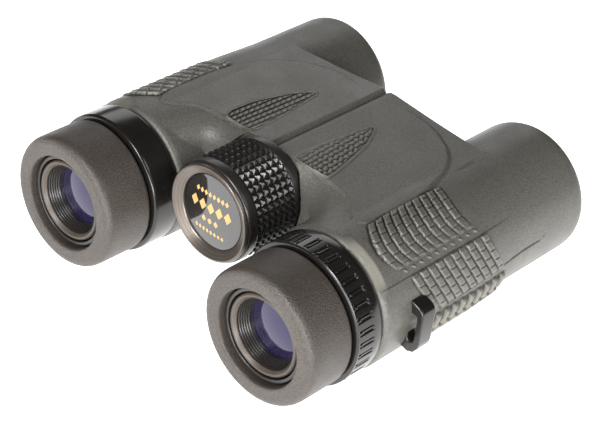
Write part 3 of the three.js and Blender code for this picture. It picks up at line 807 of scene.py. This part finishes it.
# %% [markdown]
# Behind each eyecup sits a gloss collar. The left one is plain; the right one is the eyesight
# adjustment, with thirty-six blocks parted by pairs of fine grooves. Cutting them out of a ring
# with booleans would leave long thin triangles, so the ring's radius is lowered in the grooves
# instead.

# %% Collars
COLLAR_FRONT, COLLAR_REAR, COLLAR_RADIUS, COLLAR_BORE = 14.95, 23.85, 18.9, 14.2
COLLAR_PROFILE = [(COLLAR_BORE, COLLAR_FRONT), (17.6, COLLAR_FRONT), (18.6, 15.1),
                  (COLLAR_RADIUS, 15.7), (COLLAR_RADIUS, 23.2), (18.5, COLLAR_REAR),
                  (COLLAR_BORE, COLLAR_REAR)]
collar = turned_ring("left_gloss_collar", COLLAR_PROFILE, (-AXIS_X, 0), 0.4, 160, 5)
hand_over(collar, "left_half", "gloss_black", gloss_abs, "left_collar")

DIOPTER_BLOCKS, COLUMNS_PER_BLOCK = 36, 24
DIOPTER_STATIONS = np.concatenate([
    [COLLAR_FRONT, COLLAR_FRONT, 15.05, 15.3, 15.8, 15.9, 16.1, 16.3, 16.5],
    np.linspace(16.9, 20.1, 7), [20.4, 20.6, 20.7, 20.9, 21.2, 23.2, 23.65],
    [COLLAR_REAR, COLLAR_REAR, COLLAR_REAR, COLLAR_FRONT]])
DIOPTER_EDGE = ([COLLAR_FRONT, 15.05, 15.3, 23.2, 23.65, COLLAR_REAR],
                [18.3, 18.6, COLLAR_RADIUS, COLLAR_RADIUS, 18.75, 18.35])
GROOVE_APART, GROOVE_DEEP, STUD_HIGH, BLOCK_SUNK = 0.52, 0.38, 0.1, 0.12


def diopter_ring():
    """Radius = rim, less two fine grooves between blocks over the toothed band of the ring. In the
    middle of each block a low stud stands at the front and a shallow trough runs back from it. The
    last three rows close the ring along its bore."""
    columns = DIOPTER_BLOCKS * COLUMNS_PER_BLOCK
    angle = np.linspace(0, 2 * np.pi, columns, endpoint=False)
    stations = DIOPTER_STATIONS
    base = np.interp(stations, *DIOPTER_EDGE)
    base[0], base[-3:] = 17.4, [17.4, COLLAR_BORE, COLLAR_BORE]
    share = (angle * DIOPTER_BLOCKS / (2 * np.pi)) % 1
    away = np.abs(share - 0.5) * 2 * np.pi * COLLAR_RADIUS / DIOPTER_BLOCKS
    pair = 1 - smooth(0.1, 0.26, np.abs(away - GROOVE_APART))
    middle = 1 - smooth(0.15, 0.4, away)
    band = smooth(15.75, 16.0, stations) * (1 - smooth(20.6, 20.85, stations))
    stud = smooth(16.0, 16.25, stations) * (1 - smooth(16.6, 16.95, stations))
    sunk = smooth(16.6, 16.95, stations) * (1 - smooth(20.4, 20.7, stations))
    radius = base[:, None] - GROOVE_DEEP * band[:, None] * pair
    radius = radius + (STUD_HIGH * stud - BLOCK_SUNK * sunk)[:, None] * middle
    return ring_grid("right_diopter_ring", radius, stations, angle, (AXIS_X, 0), 50)


hand_over(diopter_ring(), "diopter_wheel", "gloss_black", gloss_abs, "diopter_ring")

# %% [markdown]
# Looking into an eyecup shows a stepped tube, then a tapered ring with fine light-trap ridges, and
# the eye lens: a shallow dome of coated glass. A ridge is a tread and a riser in the cone's
# profile; a bump pattern would look flat there, because the ridges are seen almost along the
# surface.

# %% Eyepieces
TUBE_PROFILE = [(11.35, 2.3), (11.5, 2.0), (12.35, 2.0), (12.4, 2.4), (12.4, 4.6), (13.6, 4.9),
                (13.6, 29.8), (12.3, 30.0), (11.35, 30.0)]
RIM_PROFILE = [(10.95, 3.2), (10.9, 2.4), (10.5, 2.0), (10.1, 2.05), (9.35, 2.9), (9.35, 3.6),
               (10.95, 3.6)]
CONE_RIDGES, CONE_MOUTH, CONE_TAPER = 6, 9.3, 1.4
CONE_FRONT, CONE_DEPTH = 3.1, 3.6


def cone_profile():
    """A cone stepped into ridges that narrows from its mouth, and straight back outside."""
    share = np.arange(CONE_RIDGES) / CONE_RIDGES
    tread = np.stack([CONE_MOUTH - CONE_TAPER * share, CONE_FRONT + CONE_DEPTH * share], axis=1)
    riser = tread + (0, 0.55 * CONE_DEPTH / CONE_RIDGES)
    cone = np.stack([tread, riser], axis=1).reshape(-1, 2)
    return np.vstack([cone, [(7.9, 7.6), (10.9, 7.6), (10.9, 3.7)]])


LENS_EDGE = 1.2


def lens(name, x, apex, edge, edge_radius, rear):
    """A lens on an axis along y: each face is a parabola through its apex and the edge, and the
    faces are one edge thickness apart there."""
    r = np.linspace(0, 1, 15)
    front = np.stack([edge_radius * r, apex + (edge - apex) * r ** 2], axis=1)
    back = np.stack([edge_radius * r, rear + (edge + LENS_EDGE - rear) * r ** 2], axis=1)[::-1]
    return turned_solid(name, np.vstack([front, back]), (x, 0), 0.02, 96, 2)


for word, side in SIDES:
    at = (side * AXIS_X, 0)
    tube = turned_ring(f"{word}_eye_tube", TUBE_PROFILE, at, 0.2, 128, 3)
    hand_over(tube, f"{word}_half", "black_plastic", satin_nylon, f"{word}_eyepiece_tube")
    rim = turned_ring(f"{word}_lens_rim", RIM_PROFILE, at, 0.12, 144, 3)
    hand_over(rim, f"{word}_half", "taupe_metal", ring_metal, f"{word}_eye_lens_ring")
    cone = turned_ring(f"{word}_light_trap_cone", cone_profile(), at, 0.1, 144, 3)
    hand_over(cone, f"{word}_half", "black_plastic", satin_nylon)
    glass = lens(f"{word}_coated_eye_lens", side * AXIS_X,
                 apex=5.4, edge=7.4, edge_radius=9.6, rear=12.0)
    hand_over(glass, f"{word}_half", "coated_glass", eye_glass, f"{word}_eye_lens")

# %% [markdown]
# The focus knob turns on the hinge axis. Its grip is a sleeve of small pyramids between two smooth
# bands, and its front is a polished disc in a tapered metal bezel. The pyramids could be an array
# of one pyramid bent round a circle; as a height on the sleeve's radius, they meet with no seam.

# %% Focus knob
KNOB_AT = (0.0, HINGE_Z)
KNURL_FRONT, KNURL_REAR, KNURL_ROOT, KNURL_HIGH = 21.6, 34.7, 12.98, 0.95
PYRAMIDS_ROUND, PYRAMIDS_ALONG, STEPS_EACH, BLUNT_AT = 41, 6.5, 8, 0.78
CORE_PROFILE = [(3.0, 20.2), (11.0, 20.2), (12.9, 18.5), (13.3, 18.1), (13.75, 18.6),
                (13.8, 21.0), (13.4, 21.5), (12.95, KNURL_FRONT), (12.95, KNURL_REAR),
                (13.4, 34.8), (13.8, 35.3), (13.8, 37.6), (13.3, 38.2), (3.0, 38.25)]
core = turned_ring("knob_bands", CORE_PROFILE, KNOB_AT, 0.3, 160, 4)
hand_over(core, "focus_wheel", "black_plastic", satin_nylon, "focus_knob")


def knurled_sleeve():
    """Radius = root + height of the lower of two triangle waves, one round the knob and one along
    it. That gives square pyramids, and cutting the wave off below its top makes them blunt."""
    columns = PYRAMIDS_ROUND * STEPS_EACH
    angle = np.linspace(0, 2 * np.pi, columns, endpoint=False)
    rows = int(PYRAMIDS_ALONG * STEPS_EACH) + 1
    stations = np.linspace(KNURL_FRONT + 0.05, KNURL_REAR - 0.05, rows)
    wave_round = 1 - np.abs(((angle * PYRAMIDS_ROUND / (2 * np.pi)) % 1) - 0.5) * 2
    phase = (stations - KNURL_FRONT) / (KNURL_REAR - KNURL_FRONT) * PYRAMIDS_ALONG
    wave_along = 1 - np.abs((phase % 1) - 0.5) * 2
    height = np.minimum(wave_round[None, :], wave_along[:, None])
    height = np.minimum(height, BLUNT_AT) / BLUNT_AT
    radius = np.vstack([KNURL_ROOT + KNURL_HIGH * height, np.full((2, columns), 12.96)])
    stations = np.concatenate([stations, [stations[-1], stations[0]]])
    return ring_grid("knob_knurled_sleeve", radius, stations, angle, KNOB_AT, 25)


hand_over(knurled_sleeve(), "focus_wheel", "black_plastic", satin_nylon, "knob_grip")
BEZEL_PROFILE = [(10.25, 19.2), (10.25, 18.7), (10.6, 18.35), (12.2, 17.35), (12.75, 17.0),
                 (13.15, 17.2), (13.3, 18.0), (12.9, 18.6), (11.6, 19.6)]
bezel = turned_ring("knob_metal_bezel", BEZEL_PROFILE, KNOB_AT, 0.25, 160, 4)
hand_over(bezel, "focus_wheel", "taupe_metal", bezel_metal, "knob_bezel")

# %% [markdown]
# The disc is a very shallow dome, which bends the reflection of the room a little. Its gold print
# is four rows of lozenges, raised by a twentieth of a millimetre: thicker than real ink, so that
# the two surfaces never lie in each other.

# %% Knob disc and its marks
DISC_RADIUS, DISC_DOME, DISC_EDGE, DISC_BACK = 10.15, 0.55, 18.6, 20.1
INK_RAISED, INK_DEEP = 0.05, 0.12


def disc_face(share):
    """The station of the dome: forward by the dome height times one less the share squared."""
    return DISC_EDGE - DISC_DOME * (1 - share ** 2)


def polished_disc():
    share = np.linspace(0, 1, 12)
    face = np.stack([DISC_RADIUS * share, disc_face(share)], axis=1)
    profile = np.vstack([face, [(DISC_RADIUS, DISC_BACK), (0, DISC_BACK)]])
    return turned_solid("knob_polished_disc", profile, KNOB_AT, 0.05, 128, 3)


hand_over(polished_disc(), "focus_wheel", "gloss_black", disc_gloss, "knob_disc")


def printed_marks(name, rows):
    """Small raised lozenges: each row is (height, count, pitch, half width, half height). A lozenge
    is a box with four corners in front and four behind."""
    made = []
    for height, count, pitch, half_wide, half_tall in rows:
        across = (np.arange(count) - (count - 1) / 2) * pitch
        turn = np.array([(1, 0), (0, 1), (-1, 0), (0, -1)]) * (half_wide, half_tall)
        corner_x = across[:, None] + turn[None, :, 0]
        corner_z = height + np.repeat(turn[None, :, 1], count, axis=0)
        face_y = disc_face(np.hypot(corner_x, corner_z) / DISC_RADIUS) - INK_RAISED
        front = np.stack([corner_x, face_y, corner_z + HINGE_Z], axis=-1)
        made.append(np.concatenate([front, front + (0, INK_DEEP, 0)], axis=1))
    blocks = np.concatenate(made)
    sides = [(a, a + 4, (a + 1) % 4 + 4, (a + 1) % 4) for a in range(4)]
    one = np.array([(0, 1, 2, 3), (7, 6, 5, 4), *sides])
    quads = (one[None] + 8 * np.arange(len(blocks))[:, None, None]).reshape(-1, 4)
    return mesh_object(name, blocks.reshape(-1, 3), quads, smooth_angle=10)


marks = printed_marks("knob_printed_marks", [
    (5.0, 8, 1.45, 0.6, 0.8), (1.2, 5, 2.9, 1.25, 1.7),
    (-2.6, 3, 2.1, 0.8, 0.95), (-5.8, 8, 1.3, 0.5, 0.7)])
hand_over(marks, "focus_wheel", "gloss_black", gold_print)

# %% [markdown]
# The strap lug is a bar that stands off the side of each barrel on an upper and a lower foot, so
# that a strap passes behind it. It is an outer outline and a slot with equally many corners, joined
# in front and behind into one closed band. A bevel modifier softens its edges, which is simpler
# here than rounding every corner in the outlines.

# %% Strap lugs
LUG_FRONT, LUG_REAR, LUG_BEVEL = 33.6, 38.6, 0.45
LUG_OUTER = np.array([(16.6, 7.0), (19.6, 6.3), (21.4, 5.7), (22.4, 5.0), (22.8, 3.9),
                      (22.8, -4.6), (22.5, -6.2), (21.4, -7.8), (19.6, -8.5), (16.6, -7.6)])
LUG_SLOT = np.array([(19.1, 3.0), (19.8, 3.1), (20.6, 3.0), (21.0, 2.4), (21.1, 1.2),
                     (21.1, -3.4), (20.9, -4.4), (20.2, -5.0), (19.6, -5.1), (19.1, -4.4)])


def strap_lug(name, side):
    """A D-shaped band: an outer outline and a slot outline, joined front and rear."""
    rows = [(LUG_OUTER, LUG_FRONT), (LUG_OUTER, LUG_REAR),
            (LUG_SLOT, LUG_REAR), (LUG_SLOT, LUG_FRONT)]
    points = np.vstack([np.column_stack([
        side * (AXIS_X + shape[:, 0]), np.full(len(shape), y), shape[:, 1]]) for shape, y in rows])
    quads = grid_faces(len(rows), len(LUG_OUTER), True, True)
    piece = mesh_object(name, points, quads, smooth_angle=40)
    bevel = piece.modifiers.new("soft_edges", "BEVEL")
    bevel.width, bevel.segments, bevel.limit_method = LUG_BEVEL * MM, 3, "ANGLE"
    bevel.angle_limit = np.radians(40)
    return piece


for word, side in SIDES:
    lug = strap_lug(f"{word}_lug_loop", side)
    hand_over(lug, f"{word}_half", "black_plastic", gloss_abs, f"{word}_strap_lug")

# %% [markdown]
# At the far end each tube ends in a black anodised retaining ring round the objective, whose front
# glass is a dome. Both are turned, as the eyepieces are, with the same lens function.

# %% Objectives
RING_PROFILE = [(12.65, 99.9), (12.65, 101.0), (13.2, 102.7), (13.6, 103.0), (14.6, 103.0),
                (14.95, 102.6), (14.95, 99.8), (14.0, 99.8)]
for word, side in SIDES:
    at = (side * AXIS_X, 0)
    ring = turned_ring(f"{word}_retaining_ring", RING_PROFILE, at, 0.2, 144, 3)
    hand_over(ring, f"{word}_half", "black_metal", anodised, f"{word}_objective_ring")
    glass = lens(f"{word}_front_glass", side * AXIS_X,
                 apex=100.4, edge=99.2, edge_radius=12.55, rear=97.6)
    hand_over(glass, f"{word}_half", "coated_glass", objective_glass, f"{word}_objective_crown")

# %% [markdown]
# The hinge shows a shallow round cap between the tubes at the back. Its stations come from the box
# of the part that it stands for, so that it sits at the end of the hinge whatever the length.

# %% Hinge cap
CAP_RADIUS, CAP_DISH = 7.4, 0.5


def hinge_cap():
    """A disc with a raised rim round a shallow dish."""
    front, rear = (corner.y / MM - eyecup_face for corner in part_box("hinge_end_cap"))
    dish = rear - CAP_DISH
    profile = [(0, front), (7.1, front), (CAP_RADIUS, front + 0.3), (CAP_RADIUS, dish), (6.7, rear),
               (5.4, rear), (5.1, dish), (0, dish)]
    return turned_solid("hinge_rear_cap", profile, KNOB_AT, 0.3, 128, 4)


hand_over(hinge_cap(), "left_half", "gloss_black", gloss_abs, "hinge_end_cap")

# %% [markdown]
# The parts inside keep their frame shapes and take a finish each: prisms and inner lenses of clear
# glass, cells of anodised aluminium, cages of moulded nylon, and the drive in steel. Their shapes
# are already right and hardly seen, so a material is all that they need.

# %% Clear glass
def clear_glass():
    """Polished optical glass: hardly any colour, and a trace of a blue broad-band coating."""
    material, tree, shader = new_material("polished_prism_glass")
    shader.inputs["Base Color"].default_value = linear("#E8F0F2")
    shader.inputs["Roughness"].default_value = 0.02
    shader.inputs["IOR"].default_value = 1.57
    shader.inputs["Transmission Weight"].default_value = 1.0
    shader.inputs["Thin Film Thickness"].default_value = 300.0
    return material


INSIDE_FINISH = {
    "black_plastic": satin_nylon, "chassis_plastic": chassis_nylon, "black_metal": anodised,
    "steel": bright_steel, "clear_glass": clear_glass(),
}
for name, cad in frame["nodes"].items():
    if cad.hide_render:
        continue
    kind = next(slot for slot in INSIDE_FINISH if slot in cad.data.materials[0].name)
    for place in cad.material_slots:
        place.material = INSIDE_FINISH[kind]
    print(f"{name}: {kind}")
